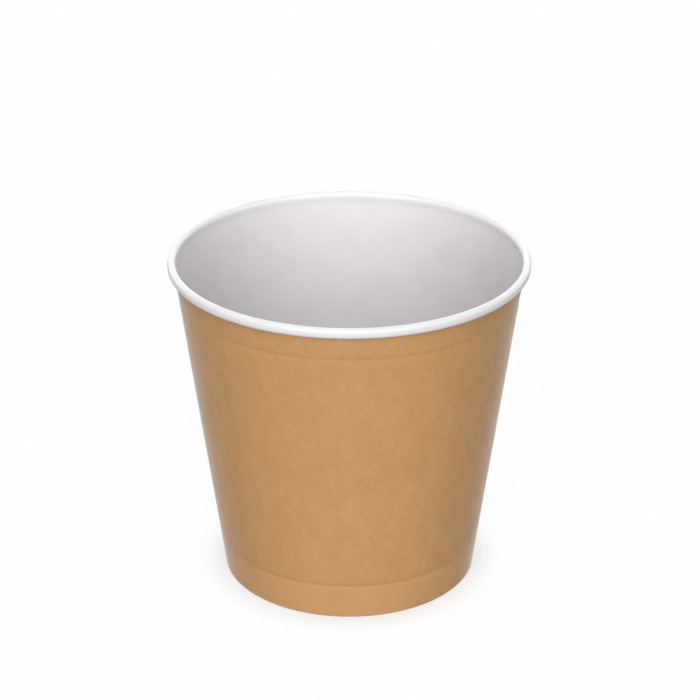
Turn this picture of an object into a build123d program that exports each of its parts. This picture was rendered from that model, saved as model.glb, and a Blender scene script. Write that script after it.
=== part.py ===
from build123d import *
import os
from math import asin, atan, atan2, ceil, cos, degrees, hypot, radians, sin, tan

# Kraft food bucket. A fan of paperboard, kraft outside and white inside, is rolled into a cone and
# lapped at a side seam. Its top edge is curled outwards into the rim, so the rim shows the white face.
# Its lower edge is folded in and up, and holds the skirt of a pressed bottom.
# Millimetres, +Z up, with the origin on the axis, in the plane that the foot stands on.

# Overall sizes
rim_diameter = 216.0        # across the rolled rim
foot_diameter = 153.6       # across the white face, where the wall rises from the foot's fold
height = 203.0              # from the foot to the top of the rim

# Paperboard
board = 0.5                 # thickness of the wall's board
bottom_board = 0.4          # thickness of the bottom's board
seal_gap = 0.1              # left between two boards for the film that seals them
flat_turn = 42.0            # degrees: a bend is made of flats that turn by no more than this

# Rolled rim, measured on the white face, which is its outside
curl_radius = 2.45          # of the bend over the top and of the one underneath
curl_side = 1.4             # straight run down the outer side, between the two bends
tuck_gap = 0.2              # from the rim's cut edge to the wall, where the seam doubles it
neck_run = 1.3              # length of the neck, where the wall turns in behind the rim
neck_lean = 25.0            # degrees that the neck leans in

# Rings pressed into the wall's kraft face
ring_depth = 0.2
ring_edge = 1.2             # run above a ring's deepest line, where the face turns in
ring_ease = 4.0             # run below that line, where it comes out again
upper_ring_drop = 21.1      # from the top of the rim to the upper ring
heel_ring_rise = 0.9        # from the bottom's upper face to the heel ring

# Pressed bottom and the hem that holds it
bottom_rise = 21.5          # from the foot to the bottom's underside
bottom_bend = 2.0           # radius between the bottom's upper face and its skirt
hem_gap = 2.0               # from the hem's cut edge up to the bottom's bend

# Side seam, measured round the rim
seam_angle = 158.0          # degrees round from +X to the inner cut edge
lap_width = 9.0             # overlap of the board's two ends
lap_ramp = 3.0              # run over which the outer end climbs onto the inner one


def bend(radius, turn):
    """A bend as turns and flats, one after the other; its first and last turns are half ones."""
    flats = ceil(abs(turn) / flat_turn)
    step = turn / flats
    flat = 2 * radius * sin(radians(abs(step) / 2))
    return [step / 2, *[flat, step] * (flats - 1), flat, step / 2]


# The white face rises straight from the foot's fold to the neck, which leads into the curl
rim_radius = rim_diameter / 2
curl_centre = Vector(rim_radius - curl_radius, height - curl_radius)
up_neck = Vector(-sin(radians(neck_lean)), cos(radians(neck_lean)))
curl_start = curl_centre - curl_radius * Vector(up_neck.Y, -up_neck.X)
neck_foot = curl_start - neck_run * up_neck
wall_foot = Vector(foot_diameter / 2, board)
wall_run = (neck_foot - wall_foot).length
up_wall = (neck_foot - wall_foot).normalized()
out_of_wall = Vector(up_wall.Y, -up_wall.X)
wall_lean = degrees(atan2(up_wall.X, up_wall.Y))

# The rings' deepest lines along the wall, and a ring's course upwards: in, back out and straight on
bottom_top = bottom_rise + bottom_board
heel_ring = (bottom_top + heel_ring_rise - wall_foot.Y) / up_wall.Y
upper_ring = (height - upper_ring_drop - wall_foot.Y) / up_wall.Y
turn_in = degrees(atan(ring_depth / ring_ease))
turn_out = degrees(atan(ring_depth / ring_edge))
pressed_ring = [
    turn_in, hypot(ring_ease, ring_depth),
    -turn_in - turn_out, hypot(ring_edge, ring_depth),
    turn_out,
]
pressed_rise = [
    heel_ring - ring_ease, *pressed_ring,
    upper_ring - heel_ring - ring_ease - ring_edge, *pressed_ring,
    wall_run - upper_ring - ring_edge,
]

# The hem runs parallel to the wall, with room between them for the bottom's sealed skirt
skirt_room = bottom_board + 2 * seal_gap
foot_flat = skirt_room / up_wall.Y
hem_foot = wall_foot - Vector(foot_flat, 0)
hem_top = bottom_top - bottom_bend - hem_gap
hem_run = (hem_top - hem_foot.Y) / up_wall.Y
hem_start = hem_foot + hem_run * up_wall

# The rim's cut edge stops short of the neck's corner where the seam doubles the wall
neck_turn = wall_lean + neck_lean
doubled_neck = neck_foot + 2 * board * (out_of_wall + tan(radians(neck_turn / 2)) * up_wall)
tuck_turn = 90 + degrees(asin((curl_centre.X - doubled_neck.X - tuck_gap) / curl_radius))


def wall_course(rise):
    """The wall's board from the hem's cut edge to the rim's, with this rise from the foot to the neck. Runs
    and turns follow each other, and turns are positive to the left, where the white face looks."""
    return [
        hem_run, 90 + wall_lean,
        foot_flat, 90 - wall_lean,
        *rise, neck_turn,
        neck_run, *bend(curl_radius, -180 - neck_lean),
        curl_side, *bend(curl_radius, -tuck_turn)[:-1],
    ]


# The white face rises straight, and the kraft face to its right takes the rings
white_course = wall_course([wall_run])
kraft_course = wall_course(pressed_rise)

# The bottom's board from the axis to its skirt's cut edge, in the same way
skirt_foot = wall_foot + seal_gap * (up_wall - out_of_wall)
skirt_run = (bottom_top - bottom_bend * (1 + up_wall.X) - skirt_foot.Y) / up_wall.Y
bend_centre = skirt_foot + skirt_run * up_wall - bottom_bend * out_of_wall
bottom_course = [
    bend_centre.X, *bend(bottom_bend, -90 - wall_lean),
    skirt_run,
]

# Angles of the side seam
lap_turn = degrees(lap_width / rim_radius)
ramp_turn = degrees(lap_ramp / rim_radius)


def radial_plane(angle):
    """The upright half-plane at this angle round the axis, drawn on as radius and height."""
    outwards = Vector(cos(radians(angle)), sin(radians(angle)), 0)
    return Plane(origin=(0, 0, 0), x_dir=outwards, z_dir=(outwards.Y, -outwards.X, 0))


def face_points(start, heading, course, shift):
    """Corners of a board's face along its course, at a distance to the right, with mitred turns."""
    points = [start + shift * Vector(heading.Y, -heading.X)]
    mitre = 0
    for run, turn in zip(course[::2], [*course[1::2], 0]):
        next_mitre = shift * tan(radians(turn / 2))
        points.append(points[-1] + (mitre + run + next_mitre) * heading)
        mitre = next_mitre
        heading = heading.rotate(Axis.Z, turn)
    return points


def board_section(plane, near_face, far_face):
    """A board's section on a plane, between the corners of its two faces."""
    with BuildSketch(plane) as section:
        with BuildLine():
            Polyline(*near_face, *reversed(far_face), close=True)
        make_face()
    return section.sketch


def wall_section(angle, near, far):
    """The wall's section at an angle, between two distances outside the first turn's white face."""
    white_face = face_points(hem_start, -up_wall, white_course, near)
    kraft_face = face_points(hem_start, -up_wall, kraft_course, far)
    return board_section(radial_plane(angle), white_face, kraft_face)


# Wall: once round from the inner cut edge, up a ramp, and on over the first part as the lap
with BuildPart() as side_wall:
    first = wall_section(seam_angle, 0, board)
    revolve(first, axis=Axis.Z, revolution_arc=360 - ramp_turn)
    ramp_start = wall_section(seam_angle - ramp_turn, 0, board)
    ramp_end = wall_section(seam_angle, board, 2 * board)
    loft([ramp_start, ramp_end], ruled=True)
    revolve(ramp_end, axis=Axis.Z, revolution_arc=lap_turn)
    # The doubled fold is pressed flat where it stands
    split(bisect_by=Plane.XY, keep=Keep.TOP)
side_wall.part.label = "side_wall"

# Bottom: a pressed disc with a skirt turned down inside the wall
with BuildPart() as bottom:
    disc_centre = Vector(0, bottom_top)
    upper_face = face_points(disc_centre, Vector(1, 0), bottom_course, 0)
    lower_face = face_points(disc_centre, Vector(1, 0), bottom_course, bottom_board)
    pressed = board_section(radial_plane(0), upper_face, lower_face)
    revolve(pressed, axis=Axis.Z)
bottom.part.label = "bottom"

os.makedirs("parts", exist_ok=True)
export_step(side_wall.part, "parts/side_wall.step")
export_step(bottom.part, "parts/bottom.step")
print(f"wall leans {wall_lean:.2f} degrees, rim's cut edge is tucked in by {tuck_turn:.1f} degrees")
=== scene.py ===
"""Kraft food bucket: a rolled board wall with a curled white rim, and the pressed bottom in its hem."""
from math import asin, ceil, cos, pi, radians, sin, tan

import bmesh
import bpy
import numpy as np
from bpy.props import FloatProperty, FloatVectorProperty, PointerProperty
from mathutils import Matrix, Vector


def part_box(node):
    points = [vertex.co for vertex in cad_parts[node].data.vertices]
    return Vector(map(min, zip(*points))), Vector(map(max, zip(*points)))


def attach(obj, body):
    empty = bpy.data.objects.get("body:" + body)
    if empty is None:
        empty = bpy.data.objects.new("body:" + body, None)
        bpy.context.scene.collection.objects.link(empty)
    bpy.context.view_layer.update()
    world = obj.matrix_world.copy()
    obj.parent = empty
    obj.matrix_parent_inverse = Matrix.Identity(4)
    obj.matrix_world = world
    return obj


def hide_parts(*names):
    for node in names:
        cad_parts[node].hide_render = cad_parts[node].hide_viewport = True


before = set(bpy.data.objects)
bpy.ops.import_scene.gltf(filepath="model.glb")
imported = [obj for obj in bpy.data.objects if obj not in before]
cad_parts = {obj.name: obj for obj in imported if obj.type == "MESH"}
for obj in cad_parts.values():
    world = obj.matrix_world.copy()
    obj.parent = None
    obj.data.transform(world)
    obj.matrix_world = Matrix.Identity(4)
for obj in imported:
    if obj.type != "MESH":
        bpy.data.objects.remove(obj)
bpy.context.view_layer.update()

bl_info = {
    "name": "Kraft Food Bucket",
    "version": (1, 0, 0),
    "blender": (4, 5, 0),
    "location": "3D View > Sidebar > Bucket",
    "description": "Rolls the bucket's wall, presses its bottom and sets up the studio round them",
    "category": "Add Mesh",
}

MM = 0.001
wall_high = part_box("side_wall")[1]
bottom_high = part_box("bottom")[1]

# Fineness of the meshes
COLUMNS = 240           # once round the bucket
RAMP_COLUMNS = 8        # where the lap climbs
LAP_COLUMNS = 6         # across the lap
FINE_BEND = radians(12)  # largest turn from one row to the next in a bend
RING_ROWS = 14          # across a pressed ring
WALL_ROWS = 36          # between the two rings
DISC_ROWS = 14          # from the bottom's middle to its bend
SHORT_ROWS = 5          # on each shorter run
SIDE_ROWS = 2           # down the curl's straight side
WELD = 0.1e-6           # points closer than this become one

RIBS = 60               # rolled into the hem, once round

# The wall sways in two waves round it: an oval one, and a weaker three-sided one that twists on its way up
OVAL_START = 0.7
THREE_SIDED_START = 2.1
THREE_SIDED_TWIST = 3
THREE_SIDED_SHARE = 0.8

# Faces of a board, by the place of their material on the piece
KRAFT, WHITE, CUT = 0, 1, 2

# Flat map for baking: its left and right ends, and the band of each face from its lower to its upper edge
MAP_ENDS = (0.005, 0.995)
MAP_BANDS = {KRAFT: (0.005, 0.555), WHITE: (0.565, 0.965), CUT: (0.975, 0.995)}

# Papers
NOISE_MIDDLE = 0.5      # of every noise
EVEN_TONE = 0.55        # of kraft without clouds, fibres or pressing, from dark 0 to pale 1
FLECK_CELLS = 0.17      # to a millimetre; a cell has room for one fleck
FLECK_CHANCE = (0.8, 0.82)  # a cell holds a fleck if its own number is above these
FLECK_SIZE = (0.03, 0.06)   # a fleck's core and its edge, in cells
RELIEF = 0.1 * MM       # depth of the finest relief in a paper

CONTACT_SAMPLES = 16    # looks round from each point of the floor for the foot's shade


class BucketSizes(bpy.types.PropertyGroup):
    """Sizes of the bucket's boards, folds and seams."""

    rim_radius: FloatProperty(
        name="Rim radius", description="From the axis to the outside of the curled rim",
        default=wall_high.x, unit="LENGTH")
    height: FloatProperty(
        name="Height", description="From the foot to the top of the rim",
        default=wall_high.z, unit="LENGTH")
    foot_radius: FloatProperty(
        name="Foot radius", description="To the white face, where the wall rises from the foot's fold",
        default=76.8 * MM, unit="LENGTH")
    board: FloatProperty(
        name="Board", description="Thickness of the wall's board",
        default=0.5 * MM, unit="LENGTH")
    bottom_board: FloatProperty(
        name="Bottom board", description="Thickness of the bottom's board",
        default=0.4 * MM, unit="LENGTH")
    bottom_rise: FloatProperty(
        name="Bottom rise", description="From the foot to the bottom's upper face",
        default=bottom_high.z, unit="LENGTH")
    bottom_bend: FloatProperty(
        name="Bottom bend", description="Radius between the bottom's upper face and its skirt",
        default=2.0 * MM, unit="LENGTH")
    seal_gap: FloatProperty(
        name="Seal gap", description="Left between two boards for the film that seals them",
        default=0.1 * MM, unit="LENGTH")
    hem_gap: FloatProperty(
        name="Hem gap", description="From the hem's cut edge up to the bottom's bend",
        default=2.0 * MM, unit="LENGTH")
    crease: FloatProperty(
        name="Crease", description="Inner radius of the two creases in the foot's fold",
        default=0.12 * MM, unit="LENGTH")
    curl_radius: FloatProperty(
        name="Curl radius", description="Of the rim's two bends, on the white face",
        default=2.45 * MM, unit="LENGTH")
    curl_side: FloatProperty(
        name="Curl side", description="Straight run down the rim's outer side",
        default=1.4 * MM, unit="LENGTH")
    curl_tuck: FloatProperty(
        name="Curl tuck", description="Turn of the rim's lower bend, up to its cut edge",
        default=radians(100.4), subtype="ANGLE")
    neck_run: FloatProperty(
        name="Neck run", description="Length of the neck, where the wall turns in behind the rim",
        default=3.2 * MM, unit="LENGTH")
    neck_lean: FloatProperty(
        name="Neck lean", description="Lean of the neck towards the axis",
        default=radians(10), subtype="ANGLE")
    neck_radius: FloatProperty(
        name="Neck radius", description="Of the bend from the wall into the neck",
        default=8.0 * MM, unit="LENGTH")
    ring_edge: FloatProperty(
        name="Ring edge", description="Run above a pressed ring's deepest line, where the wall turns in",
        default=1.2 * MM, unit="LENGTH")
    ring_ease: FloatProperty(
        name="Ring ease",
        description="Run below a pressed ring's deepest line, where the wall comes out again",
        default=4.0 * MM, unit="LENGTH")
    ring_depth: FloatProperty(
        name="Ring depth", description="Depth of a ring pressed into the kraft face",
        default=0.2 * MM, unit="LENGTH")
    # Over this run below the heel ring the kraft is drawn paler
    press_fade: FloatProperty(
        name="Press fade", description="Run below the heel ring over which the pressed kraft turns paler",
        default=0.6 * MM, unit="LENGTH")
    upper_ring_drop: FloatProperty(
        name="Upper ring drop", description="From the top of the rim to the upper ring",
        default=21.1 * MM, unit="LENGTH")
    heel_ring_rise: FloatProperty(
        name="Heel ring rise", description="From the bottom's upper face to the heel ring",
        default=0.9 * MM, unit="LENGTH")
    seam_angle: FloatProperty(
        name="Seam angle", description="Round from +X to the inner cut edge of the side seam",
        default=radians(158), subtype="ANGLE")
    lap_width: FloatProperty(
        name="Lap width", description="Overlap of the board's two ends, round the rim",
        default=9.0 * MM, unit="LENGTH")
    lap_ramp: FloatProperty(
        name="Lap ramp", description="Run over which the outer end climbs onto the inner one",
        default=3.0 * MM, unit="LENGTH")
    lap_film: FloatProperty(
        name="Lap film", description="Left between the two ends of the board in the lap",
        default=0.02 * MM, unit="LENGTH")
    lift_reach: FloatProperty(
        name="Lift reach", description="Height over which the foot, lifted where the lap doubles it, settles",
        default=8.0 * MM, unit="LENGTH")
    rib_depth: FloatProperty(
        name="Rib depth", description="Depth of the ribs rolled into the hem's kraft face",
        default=0.15 * MM, unit="LENGTH")
    rib_fade: FloatProperty(
        name="Rib fade", description="Run over which the ribs fade out at the hem's cut edge and at the fold",
        default=3.0 * MM, unit="LENGTH")
    sway: FloatProperty(
        name="Sway", description="How far the rolled board strays from a true cone",
        default=0.12 * MM, unit="LENGTH")


class BucketColours(bpy.types.PropertyGroup):
    """Colours of the bucket's papers."""

    kraft: FloatVectorProperty(
        name="Kraft", description="Paler fibres of the kraft face",
        default=(0.69, 0.386, 0.174), size=3, min=0, max=1, subtype="COLOR")
    kraft_dark: FloatVectorProperty(
        name="Dark kraft", description="Darker fibres of the kraft face",
        default=(0.585, 0.318, 0.13), size=3, min=0, max=1, subtype="COLOR")
    fleck: FloatVectorProperty(
        name="Flecks", description="Bark flecks in the kraft face",
        default=(0.24, 0.11, 0.035), size=3, min=0, max=1, subtype="COLOR")
    # Painted shade: the two coat colours are set darker than the rim's white, standing in for the shade on
    # the white faces inside the bucket
    coat: FloatVectorProperty(
        name="White coat", description="Coated white face",
        default=(0.78, 0.76, 0.765), size=3, min=0, max=1, subtype="COLOR")
    coat_dark: FloatVectorProperty(
        name="White coat over hollows", description="Coated white face where its board is thinner",
        default=(0.755, 0.73, 0.735), size=3, min=0, max=1, subtype="COLOR")
    # The curl's white is paler than the coat only because the coat colours carry painted shade
    rim: FloatVectorProperty(
        name="White rim", description="Coated white face where it is drawn tight round the curl",
        default=(0.86, 0.855, 0.86), size=3, min=0, max=1, subtype="COLOR")
    cut: FloatVectorProperty(
        name="Cut edge", description="Bare core of the board at a cut edge",
        default=(0.70, 0.53, 0.34), size=3, min=0, max=1, subtype="COLOR")
    cut_dark: FloatVectorProperty(
        name="Dark cut edge", description="Torn fibres at a cut edge",
        default=(0.50, 0.33, 0.17), size=3, min=0, max=1, subtype="COLOR")


class StudioSettings(bpy.types.PropertyGroup):
    """Camera, lights and white surroundings."""

    camera_place: FloatVectorProperty(
        name="Camera place", description="Where the camera stands",
        default=(0.0004, -1.3281, 0.7579), size=3, subtype="TRANSLATION", unit="LENGTH")
    camera_tilt: FloatProperty(
        name="Camera tilt", description="How far the camera looks down from level",
        default=radians(24.92), subtype="ANGLE")
    lens: FloatProperty(
        name="Lens", description="Focal length in millimetres on a 36 mm frame",
        default=124.5, subtype="DISTANCE_CAMERA")
    key_from: FloatVectorProperty(
        name="Key from", description="Direction that the soft front light comes from",
        default=(-0.04, -0.94, 0.33), size=3, subtype="DIRECTION")
    key_level: FloatProperty(
        name="Key level", description="Brightness of a white matt face that is turned to the front light",
        default=1.02)
    fill_from: FloatVectorProperty(
        name="Fill from",
        description="Direction of the right one of two soft back lights; the left one mirrors it",
        default=(0.5, 0.86, 0.1), size=3, subtype="DIRECTION")
    fill_level: FloatProperty(
        name="Fill level", description="Brightness of a white matt face that is turned to one back light",
        default=0.48)
    top_level: FloatProperty(
        name="Top level", description="Brightness of a white matt face that lies under the soft top light",
        default=0.22)
    softness: FloatProperty(
        name="Softness", description="Width of each light, as seen from the bucket",
        default=radians(70), subtype="ANGLE")
    room_light: FloatProperty(
        name="Room light", description="Brightness of the white room, as light on matt faces",
        default=0.02)
    floor_glow: FloatProperty(
        name="Floor glow", description="Share of the floor that stays white under the shadow",
        default=0.955, subtype="FACTOR", min=0, max=1)
    contact_shade: FloatProperty(
        name="Contact shade", description="Share of the floor's glow that is lost close to the foot",
        default=0.7, subtype="FACTOR", min=0, max=1)
    contact_reach: FloatProperty(
        name="Contact reach", description="How far from the foot the floor is shaded by it",
        default=18 * MM, unit="LENGTH")
    floor_size: FloatProperty(
        name="Floor size", description="Side of the floor", default=12.0, unit="LENGTH")
    floor_colour: FloatVectorProperty(
        name="Floor colour", description="Matt part of the floor, as it is seen",
        default=(0.95, 0.95, 0.95), size=3, min=0, max=1, subtype="COLOR")
    floor_bounce: FloatVectorProperty(
        name="Floor bounce", description="Matt part of the floor, as it lights the bucket",
        default=(0.1, 0.1, 0.1), size=3, min=0, max=1, subtype="COLOR")


class Signal:
    """A socket of a node tree. Sums on it add Math nodes, and node() adds any other one."""

    def __init__(self, tree, socket=None):
        self.tree = tree
        self.socket = socket

    def node(self, kind, settings=None, sockets=None):
        """Adds a node with its settings, then its sockets' values or links; gives its first output."""
        made = self.tree.nodes.new("ShaderNode" + kind)
        for name, value in (settings or {}).items():
            setattr(made, name, value)
        for name, value in (sockets or {}).items():
            entry = self.pick(made.inputs, name)
            if isinstance(value, Signal):
                self.tree.links.new(value.socket, entry)
            else:
                entry.default_value = value
        return Signal(self.tree, self.pick(made.outputs, 0) if made.outputs else None)

    def output(self, name):
        """Another output of this signal's node."""
        return Signal(self.tree, self.pick(self.socket.node.outputs, name))

    @staticmethod
    def pick(sockets, name):
        """The socket in use that has this name or number."""
        used = [socket for socket in sockets if socket.enabled]
        if isinstance(name, int):
            return used[name]
        return next(socket for socket in used if socket.name == name)

    def math(self, operation, first, second):
        """Adds a Math node for two signals or numbers."""
        return self.node("Math", {"operation": operation}, {0: first, 1: second})

    def __add__(self, other):
        return self.math("ADD", self, other)

    def __radd__(self, other):
        return self.math("ADD", other, self)

    def __sub__(self, other):
        return self.math("SUBTRACT", self, other)

    def __rsub__(self, other):
        return self.math("SUBTRACT", other, self)

    def __mul__(self, other):
        return self.math("MULTIPLY", self, other)

    def __rmul__(self, other):
        return self.math("MULTIPLY", other, self)


def open_material(name):
    """An empty material, and the start of its node tree."""
    made = bpy.data.materials.new(name)
    made.use_nodes = True
    made.node_tree.nodes.clear()
    return made, Signal(made.node_tree)


def blank_place(start):
    """Place on the flat board, in millimetres."""
    return start.node("Attribute", {"attribute_name": "blank"}).output("Vector")


def board_mark(start, name):
    """A mark that the board keeps at each point."""
    return start.node("Attribute", {"attribute_name": name}).output("Fac")


def relief(height, strength):
    """Normals of a fine relief."""
    return height.node("Bump", sockets={"Strength": strength, "Distance": RELIEF, "Height": height})


def mix_colours(factor, first, second):
    """From the first colour to the second."""
    ends = [(*colour, 1.0) if not isinstance(colour, Signal) else colour for colour in (first, second)]
    return factor.node("Mix", {"data_type": "RGBA"}, {"Factor": factor, "A": ends[0], "B": ends[1]})


def grain(place, length, width, detail=2.0):
    """Noise with grains of this length and width, in millimetres of flat board."""
    scale = (1 / length, 1 / width, 0)
    scaled = place.node("VectorMath", {"operation": "MULTIPLY"}, {0: place, 1: scale})
    return place.node("TexNoise", {"noise_dimensions": "2D"}, {
        "Vector": scaled, "Scale": 1.0, "Detail": detail, "Roughness": 0.6})


def fade(value, low, high):
    """Rises smoothly from 0 at the low value to 1 at the high one."""
    return value.node("MapRange", {"interpolation_type": "SMOOTHSTEP"}, {
        "Value": value, "From Min": low, "From Max": high})


def fibres(blank, lean, length, width):
    """Hair-fine fibres that lean away from the board's run."""
    leaning = blank.node("VectorRotate", {"rotation_type": "Z_AXIS"}, {"Vector": blank, "Angle": lean})
    return fade(grain(leaning, length, width), low=0.56, high=0.74)


def kraft_material(colours):
    """Satin kraft: cloudy pulp, crossing pale and dark fibres, and bark flecks."""
    made, start = open_material("kraft_face")
    blank = blank_place(start)
    clouds = grain(blank, length=26, width=38)
    mottle = grain(blank, length=9, width=14)
    pulp = grain(blank, length=4, width=6, detail=3.0)
    pale = fibres(blank, lean=1.3, length=4.2, width=0.34)
    dark = fibres(blank, lean=1.9, length=3.6, width=0.3)
    cloudy = 0.6 * (clouds - NOISE_MIDDLE) + 0.6 * (mottle - NOISE_MIDDLE) + 0.75 * (pulp - NOISE_MIDDLE)
    # The kraft is drawn paler below the heel ring
    tone = cloudy + 0.2 * pale - 0.2 * dark + 0.4 * board_mark(start, "pressed") + EVEN_TONE
    colour = mix_colours(tone, colours.kraft_dark, colours.kraft)

    cells = blank.node("TexVoronoi", {"voronoi_dimensions": "2D"}, {"Vector": blank, "Scale": FLECK_CELLS})
    number = cells.node("SeparateColor", sockets={"Color": cells.output("Color")})
    fleck = fade(number, *FLECK_CHANCE) * (1 - fade(cells, *FLECK_SIZE))
    colour = mix_colours(0.35 * fleck, colour, colours.fleck)

    surface = start.node("BsdfPrincipled", sockets={
        "Base Color": colour, "Roughness": 0.45 - 0.1 * tone, "Specular IOR Level": 0.08,
        "Sheen Weight": 0.55, "Sheen Roughness": 0.27,
        "Normal": relief(0.5 * pulp + 0.3 * pale - 0.3 * dark, strength=0.12)})
    start.node("OutputMaterial", sockets={"Surface": surface})
    return made


def coat_material(colours):
    """White coated face: a thin film over the board's faint cloudiness, drawn into fine lines at the curl.
    Its coat colours are set darker than the rim's white as painted shade, except round the curl.
    """
    made, start = open_material("white_coat")
    blank = blank_place(start)
    clouds = grain(blank, length=24, width=18)
    film = grain(blank, length=1.6, width=1.2)
    thin = fibres(blank, lean=0.2, length=5.0, width=0.5)
    tone = fade(0.7 * clouds + 0.3 * film + 0.12 * thin, low=0.42, high=0.72)
    curl = board_mark(start, "curl")
    lines = curl * grain(blank, length=0.7, width=7.0)
    # Painted shade: the coat colours are darker than the rim's white, which the curl keeps
    surface = start.node("BsdfPrincipled", sockets={
        "Base Color": mix_colours(curl, mix_colours(tone, colours.coat, colours.coat_dark), colours.rim),
        "Roughness": 0.3 + 0.1 * clouds,
        "Normal": relief(0.6 * film + 0.2 * thin + 0.9 * lines, strength=0.1)})
    start.node("OutputMaterial", sockets={"Surface": surface})
    return made


def cut_material(colours):
    """Bare board core at the cut edges, with torn fibres."""
    made, start = open_material("cut_edge")
    torn = grain(blank_place(start), length=0.8, width=0.8, detail=3.0)
    surface = start.node("BsdfPrincipled", sockets={
        "Base Color": mix_colours(fade(torn, low=0.4, high=0.65), colours.cut, colours.cut_dark),
        "Roughness": 0.85, "Normal": relief(torn, strength=0.3)})
    start.node("OutputMaterial", sockets={"Surface": surface})
    return made


def board_materials():
    """The three faces of the board, made once and shared by the pieces."""
    colours = bpy.context.scene.bucket_colours
    makers = {"kraft_face": kraft_material, "white_coat": coat_material, "cut_edge": cut_material}
    return [bpy.data.materials.get(name) or make(colours) for name, make in makers.items()]


def heading_of(angle):
    """Direction of a heading in a board's section, as radius and height."""
    return np.array((cos(angle), sin(angle)))


class Section:
    """A board's section, followed along its white face: left of the course is white, right is kraft."""

    def __init__(self, start, heading):
        self.points = [np.array(start)]
        self.headings = [heading]
        self.lengths = [0.0]

    def step(self, direction, turn, chord, length):
        """One row on, with the length of board that it takes."""
        self.points.append(self.points[-1] + chord * heading_of(direction))
        self.headings.append(self.headings[-1] + turn)
        self.lengths.append(self.lengths[-1] + length)

    def run(self, length, rows):
        """Straight on."""
        for _ in range(rows):
            self.step(self.headings[-1], 0.0, length / rows, length / rows)

    def bend(self, turn, radius):
        """Round a bend of the white face, to the left if the turn is positive."""
        rows = ceil(abs(turn) / FINE_BEND)
        part = turn / rows
        chord = 2 * radius * sin(abs(part) / 2)
        for _ in range(rows):
            self.step(self.headings[-1] + part / 2, part, chord, radius * abs(part))

    def arrays(self):
        """Points, normals towards the kraft face, and lengths."""
        headings = np.array(self.headings)
        normals = np.stack([np.sin(headings), -np.cos(headings)], axis=1)
        return np.array(self.points), normals, np.array(self.lengths)


class WallLines:
    """Straight lines of the wall's section: where it stands, which way it leans, where the neck begins."""

    def __init__(self, sizes):
        centre = np.array((sizes.rim_radius - sizes.curl_radius, sizes.height - sizes.curl_radius))
        up_neck = heading_of(pi / 2 + sizes.neck_lean)
        curl_start = centre - sizes.curl_radius * np.array((up_neck[1], -up_neck[0]))
        self.foot = np.array((sizes.foot_radius, sizes.board))
        self.neck_foot = curl_start - sizes.neck_run * up_neck
        rise = self.neck_foot - self.foot
        self.run = np.linalg.norm(rise)
        self.up = rise / self.run
        self.out = np.array((self.up[1], -self.up[0]))
        self.lean = asin(self.up[0])

    def run_at(self, height):
        """Length up the wall at which its white face reaches a height."""
        return (height - self.foot[1]) / self.up[1]


def smooth(share):
    """Eases from 0 to 1."""
    share = np.clip(share, 0, 1)
    return share * share * (3 - 2 * share)


def wall_section(sizes, lines):
    """The wall's board from the hem's cut edge, round the foot's fold and up the wall, to the curl's cut
    edge. Gives the section, where its rings are pressed, and where the hem ends and the curl begins."""
    fold_in = pi / 2 + lines.lean
    fold_up = pi / 2 - lines.lean
    neck_turn = lines.lean + sizes.neck_lean
    hem_corner = sizes.crease * tan(fold_in / 2)
    wall_corner = sizes.crease * tan(fold_up / 2)
    neck_corner = sizes.neck_radius * tan(neck_turn / 2)
    foot_flat = (sizes.bottom_board + 2 * sizes.seal_gap) / lines.up[1]
    hem_foot = lines.foot - np.array((foot_flat, 0))
    hem_top = sizes.bottom_rise - sizes.bottom_bend - sizes.hem_gap
    hem_run = (hem_top - hem_foot[1]) / lines.up[1]
    heel = lines.run_at(sizes.bottom_rise + sizes.heel_ring_rise)
    upper = lines.run_at(sizes.height - sizes.upper_ring_drop)
    ring_run = sizes.ring_ease + sizes.ring_edge

    section = Section(hem_foot + hem_run * lines.up, -pi / 2 - lines.lean)
    section.run(hem_run - hem_corner, SHORT_ROWS)
    hem_end = section.lengths[-1]
    section.bend(fold_in, sizes.crease)
    section.run(foot_flat - hem_corner - wall_corner, 1)
    section.bend(fold_up, sizes.crease)
    wall_start = section.lengths[-1] - wall_corner
    section.run(heel - sizes.ring_ease - wall_corner, SHORT_ROWS)
    section.run(ring_run, RING_ROWS)
    section.run(upper - heel - ring_run, WALL_ROWS)
    section.run(ring_run, RING_ROWS)
    section.run(lines.run - upper - sizes.ring_edge - neck_corner, SHORT_ROWS)
    section.bend(neck_turn, sizes.neck_radius)
    section.run(sizes.neck_run - neck_corner, 1)
    curl_start = section.lengths[-1]
    section.bend(-pi - sizes.neck_lean, sizes.curl_radius)
    section.run(sizes.curl_side, SIDE_ROWS)
    section.bend(-sizes.curl_tuck, sizes.curl_radius)
    return section, (wall_start + heel, wall_start + upper), hem_end, curl_start


def border(first, second):
    """Quads of a cut edge, between two rows of points."""
    return np.stack([first[:-1], second[:-1], second[1:], first[1:]], axis=1)


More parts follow.
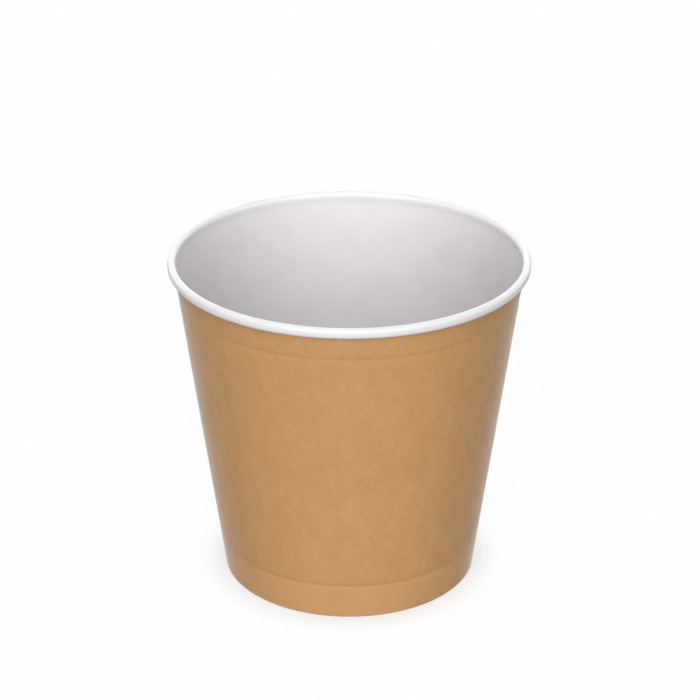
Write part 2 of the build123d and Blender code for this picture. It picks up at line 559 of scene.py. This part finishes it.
def board_piece(name, white, kraft, cut_rows, cut_columns, marks):
    """A board from its white and kraft faces, grids of points with rows along the section, closed by cut
    edges at the rows and columns that are named. Marks are values kept at each point for the materials."""
    rows, columns = white.shape[:2]
    count = rows * columns
    numbers = np.arange(count).reshape(rows, columns)
    across = np.linspace(0, 1, columns)[None, :] + np.zeros((rows, 1))
    along = np.linspace(0, 1, rows)[:, None] + np.zeros((1, columns))
    corners = [numbers[:-1, :-1], numbers[1:, :-1], numbers[1:, 1:], numbers[:-1, 1:]]
    face = np.stack(corners, axis=-1).reshape(-1, 4)
    strips = [border(numbers[row], numbers[row] + count) for row in cut_rows]
    strips += [border(numbers[:, column], numbers[:, column] + count) for column in cut_columns]
    flips = [row == 0 for row in cut_rows] + [column != 0 for column in cut_columns]
    strips = [strip[:, ::-1] if flip else strip for strip, flip in zip(strips, flips)]
    quads = np.concatenate([face[:, ::-1] + count, face, *strips])
    kinds = np.concatenate([np.full(len(face), KRAFT), np.full(len(face), WHITE),
                            np.full(sum(map(len, strips)), CUT)])

    mesh = bpy.data.meshes.new(name)
    points = np.concatenate([white.reshape(-1, 3), kraft.reshape(-1, 3)])
    mesh.from_pydata(points.tolist(), [], quads.tolist())
    for material in board_materials():
        mesh.materials.append(material)
    mesh.polygons.foreach_set("material_index", kinds.astype(np.int32))
    for mark, values in marks.items():
        kind = "FLOAT_VECTOR" if values.ndim == 3 else "FLOAT"
        field = "vector" if values.ndim == 3 else "value"
        doubled = np.concatenate([values, values]).astype(np.float32)
        mesh.attributes.new(mark, kind, "POINT").data.foreach_set(field, doubled.ravel())
    spread_map(mesh, quads, kinds, across.ravel(), along.ravel(), count)
    weld(mesh)
    piece = bpy.data.objects.new(name, mesh)
    bpy.context.scene.collection.objects.link(piece)
    return piece


def spread_map(mesh, quads, kinds, across, along, count):
    """A flat map for baking: the kraft face below, the white face above it, the cut edges along the top."""
    left, right = MAP_ENDS
    places = np.zeros((len(quads), 4, 2))
    source = quads % count
    for kind in (KRAFT, WHITE):
        low, high = MAP_BANDS[kind]
        chosen = kinds == kind
        places[chosen, :, 0] = left + (right - left) * across[source[chosen]]
        places[chosen, :, 1] = low + (high - low) * along[source[chosen]]
    edge = kinds == CUT
    low, high = MAP_BANDS[CUT]
    ends = np.linspace(left, right, edge.sum() + 1)
    places[edge, :, 0] = np.stack([ends[:-1], ends[1:], ends[1:], ends[:-1]], axis=1)
    places[edge, :, 1] = (low, low, high, high)
    layer = mesh.uv_layers.new(name="OFBake")
    layer.data.foreach_set("uv", places.astype(np.float32).ravel())


def weld(mesh):
    """Joins points that coincide, and keeps the edges of the cut faces crisp."""
    work = bmesh.new()
    work.from_mesh(mesh)
    bmesh.ops.remove_doubles(work, verts=work.verts, dist=WELD)
    for edge in work.edges:
        edge.smooth = len({face.material_index for face in edge.link_faces}) < 2
    for face in work.faces:
        face.smooth = True
    work.to_mesh(mesh)
    work.free()


def turned(points, angles):
    """Points of a section, as radius and height at each angle, placed round the axis."""
    radius, height = points[..., 0], points[..., 1]
    return np.stack([radius * np.cos(angles), radius * np.sin(angles), height], axis=-1)


class BUCKET_OT_roll_wall(bpy.types.Operator):
    """Rolls the kraft board into the bucket's wall, with its hem, rings, neck, curled rim and lapped seam"""

    bl_idname = "bucket.roll_wall"
    bl_label = "Roll the Wall"

    def execute(self, context):
        sizes = context.scene.bucket_sizes
        lines = WallLines(sizes)
        section, rings, hem_end, curl_start = wall_section(sizes, lines)
        points, normals, lengths = section.arrays()

        # Once round from the inner cut edge, then up the ramp and on over the lap
        lap = sizes.lap_width / sizes.rim_radius
        ramp = sizes.lap_ramp / sizes.rim_radius
        rolled = np.concatenate([
            np.linspace(0, 2 * pi - ramp, COLUMNS, endpoint=False),
            np.linspace(2 * pi - ramp, 2 * pi, RAMP_COLUMNS, endpoint=False),
            np.linspace(2 * pi, 2 * pi + lap, LAP_COLUMNS + 1)])
        angles = (sizes.seam_angle + rolled)[None, :]
        step = sizes.board + sizes.lap_film
        climb = step * smooth((rolled - 2 * pi + ramp) / ramp)

        # The rings are pressed into the kraft face alone
        dent = np.zeros_like(lengths)
        for ring in rings:
            above = (lengths - ring) / sizes.ring_edge
            below = (ring - lengths) / sizes.ring_ease
            dent += sizes.ring_depth * smooth(1 - np.maximum(above, below))

        # So are the ribs that seal the hem, clear of its cut edge and of the fold
        ribbed = smooth(lengths / sizes.rib_fade) * smooth((hem_end - lengths) / sizes.rib_fade)
        ribs = sizes.rib_depth * (0.5 + 0.5 * np.sin(RIBS * rolled))
        dent = dent[:, None] + ribbed[:, None] * ribs[None, :]

        # The doubled fold stands level with the rest, so both its ends are lifted there, and the inner one
        # comes down again over two ramps
        under = step * (1 - smooth((rolled - lap) / (2 * ramp)))
        settled = smooth((points[:, 1] - sizes.board) / sizes.lift_reach)
        lift = (climb + under)[None, :] * (1 - settled)[:, None]

        # The board strays a little from a true cone between its stiff rim and foot
        rise = points[:, 1:] / sizes.height
        oval = np.sin(2 * angles + OVAL_START)
        three_sided = np.sin(3 * angles + THREE_SIDED_START + THREE_SIDED_TWIST * rise)
        waves = (oval + THREE_SIDED_SHARE * three_sided) / 2
        stray = sizes.sway * np.sin(pi * np.clip(rise, 0, 1)) ** 2 * waves

        def face(depth):
            shift = depth + climb[None, :]
            placed = points[:, None, :] + shift[..., None] * normals[:, None, :]
            placed[..., 0] += stray
            placed[..., 1] += lift
            return turned(placed, angles)

        # Place of each point on the flat fan of board, in millimetres
        fan = (sizes.foot_radius / sin(lines.lean) + lengths)[:, None] / MM
        swing = rolled[None, :] * sin(lines.lean)
        blank = np.stack([fan * np.sin(swing), fan * np.cos(swing), 0 * fan * swing], axis=-1)

        # Round the curl the white takes the rim's paler colour and fine lines, while elsewhere its colour is
        # set darker as painted shade; below the heel ring the kraft turns paler
        even = np.ones_like(rolled)[None, :]
        curl = smooth((lengths - curl_start) / sizes.neck_run + 1)[:, None] * even
        pressed = smooth((rings[0] - lengths) / sizes.press_fade)[:, None] * even
        wall = board_piece("bucket_wall", face(0 * dent), face(sizes.board - dent), (0, -1), (0, -1),
                           {"blank": blank, "curl": curl, "pressed": pressed})
        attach(wall, "root")
        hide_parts("side_wall")
        return {"FINISHED"}


class BUCKET_OT_press_bottom(bpy.types.Operator):
    """Presses the bottom's disc and turns its skirt down into the hem"""

    bl_idname = "bucket.press_bottom"
    bl_label = "Press the Bottom"

    def execute(self, context):
        sizes = context.scene.bucket_sizes
        lines = WallLines(sizes)
        skirt_line = lines.foot - sizes.seal_gap * lines.out
        bend_drop = sizes.bottom_bend * (1 + lines.up[0])
        skirt_top = lines.run_at(sizes.bottom_rise - bend_drop + sizes.seal_gap * lines.out[1])
        bend_centre = skirt_line + skirt_top * lines.up - sizes.bottom_bend * lines.out

        # The skirt's cut edge stays clear of the fold, which is lifted where the lap doubles it
        clear = 2 * sizes.board
        section = Section((0.0, sizes.bottom_rise), 0.0)
        section.run(bend_centre[0], DISC_ROWS)
        section.bend(-pi / 2 - lines.lean, sizes.bottom_bend)
        section.run(skirt_top - clear, SHORT_ROWS)
        points, normals, lengths = section.arrays()
        angles = np.linspace(0, 2 * pi, COLUMNS + 1)[None, :]

        def face(depth):
            placed = (points + depth * normals)[:, None, :] + np.zeros_like(angles)[..., None]
            return turned(placed, angles)

        # Place of each point on the flat disc of board, in millimetres
        disc = lengths[:, None] / MM
        blank = np.stack([disc * np.cos(angles), disc * np.sin(angles), 0 * disc * angles], axis=-1)
        bottom = board_piece("bucket_bottom", face(0.0), face(sizes.bottom_board), (-1,), (),
                             {"blank": blank})
        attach(bottom, "root")
        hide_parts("bottom")
        return {"FINISHED"}


def seen_directly(start):
    """1 where the camera, a reflection or a glass sees a surface, and 0 where it only gives light."""
    path = start.node("LightPath")
    return path.output("Is Camera Ray") + path.output("Is Glossy Ray") + path.output("Is Transmission Ray")


def floor_material(studio):
    """White floor that keeps a part of the bucket's shadow, and is shaded close to the foot."""
    made, start = open_material("white_floor")
    seen = seen_directly(start)
    bounce = start.node("BsdfDiffuse", sockets={"Color": (*studio.floor_bounce, 1.0)})
    shown = start.node("BsdfDiffuse", sockets={"Color": (*studio.floor_colour, 1.0)})
    matt = start.node("MixShader", sockets={0: seen, 1: bounce, 2: shown})
    glow = start.node("Emission", sockets={"Color": (1.0, 1.0, 1.0, 1.0), "Strength": 1.0})
    sky = start.node("AmbientOcclusion", {"samples": CONTACT_SAMPLES}, {"Distance": studio.contact_reach})
    white = studio.floor_glow - studio.contact_shade * (1 - sky.output("AO"))
    mixed = start.node("MixShader", sockets={0: white * seen, 1: matt, 2: glow})
    start.node("OutputMaterial", sockets={"Surface": mixed})
    return made


def white_room(studio):
    """White room, dimmer for the light that it gives to matt faces."""
    made = bpy.data.worlds.new("white_room")
    made.use_nodes = True
    made.node_tree.nodes.clear()
    start = Signal(made.node_tree)
    dim, white = [start.node("Background", sockets={"Color": (1.0, 1.0, 1.0, 1.0), "Strength": strength})
                  for strength in (studio.room_light, 1.0)]
    room = start.node("MixShader", sockets={0: seen_directly(start), 1: dim, 2: white})
    start.node("OutputWorld", sockets={"Surface": room})
    return made


def soft_light(name, source, level, softness):
    """A wide, far light that makes a white matt face turned to it this bright."""
    # A wide light comes from slanting directions too, and on average gives this share of a straight one
    share = (1 + cos(softness / 2)) / 2
    light = bpy.data.lights.new(name, "SUN")
    light.energy = pi * level / share
    light.angle = softness
    lamp = bpy.data.objects.new(name, light)
    lamp.rotation_euler = Vector(source).to_track_quat("Z", "Y").to_euler()
    return lamp


class BUCKET_OT_set_stage(bpy.types.Operator):
    """Sets up the white floor and room, the soft lights and the camera"""

    bl_idname = "bucket.set_stage"
    bl_label = "Set the Stage"

    def execute(self, context):
        scene = context.scene
        studio = scene.bucket_studio
        half = studio.floor_size / 2
        corners = [(-half, -half, 0), (half, -half, 0), (half, half, 0), (-half, half, 0)]
        mesh = bpy.data.meshes.new("floor")
        mesh.from_pydata(corners, [], [(0, 1, 2, 3)])
        mesh.materials.append(floor_material(studio))
        floor = bpy.data.objects.new("floor", mesh)

        key = soft_light("soft_key", studio.key_from, studio.key_level, studio.softness)
        right, back, up = studio.fill_from
        fills = [soft_light(f"soft_fill_{side}", (across, back, up), studio.fill_level, studio.softness)
                 for side, across in (("left", -right), ("right", right))]
        top = soft_light("soft_top", (0, 0, 1), studio.top_level, studio.softness)

        lens = bpy.data.cameras.new("camera")
        lens.lens = studio.lens
        camera = bpy.data.objects.new("camera", lens)
        camera.location = studio.camera_place
        camera.rotation_euler = (pi / 2 - studio.camera_tilt, 0, 0)
        for thing in (floor, key, *fills, top, camera):
            scene.collection.objects.link(thing)
        scene.camera = camera
        scene.world = white_room(studio)
        scene.view_settings.view_transform = "Standard"
        return {"FINISHED"}


class BUCKET_PT_sidebar(bpy.types.Panel):
    """Sizes, colours and steps of the bucket"""

    bl_idname = "BUCKET_PT_sidebar"
    bl_label = "Kraft Food Bucket"
    bl_space_type = "VIEW_3D"
    bl_region_type = "UI"
    bl_category = "Bucket"

    def draw(self, context):
        layout = self.layout
        for step in STEPS:
            layout.operator(step.bl_idname)
        for group in SETTINGS:
            settings = getattr(context.scene, group)
            box = layout.box()
            for name in settings.__annotations__:
                box.prop(settings, name)


STEPS = (BUCKET_OT_roll_wall, BUCKET_OT_press_bottom, BUCKET_OT_set_stage)
SETTINGS = {"bucket_sizes": BucketSizes, "bucket_colours": BucketColours, "bucket_studio": StudioSettings}


def register():
    for name, settings in SETTINGS.items():
        bpy.utils.register_class(settings)
        setattr(bpy.types.Scene, name, PointerProperty(type=settings))
    for step in (*STEPS, BUCKET_PT_sidebar):
        bpy.utils.register_class(step)


def unregister():
    for step in (BUCKET_PT_sidebar, *reversed(STEPS)):
        bpy.utils.unregister_class(step)
    for name, settings in SETTINGS.items():
        delattr(bpy.types.Scene, name)
        bpy.utils.unregister_class(settings)


def main():
    register()
    bpy.ops.bucket.roll_wall()
    bpy.ops.bucket.press_bottom()
    bpy.ops.bucket.set_stage()


if __name__ == "__main__":
    main()
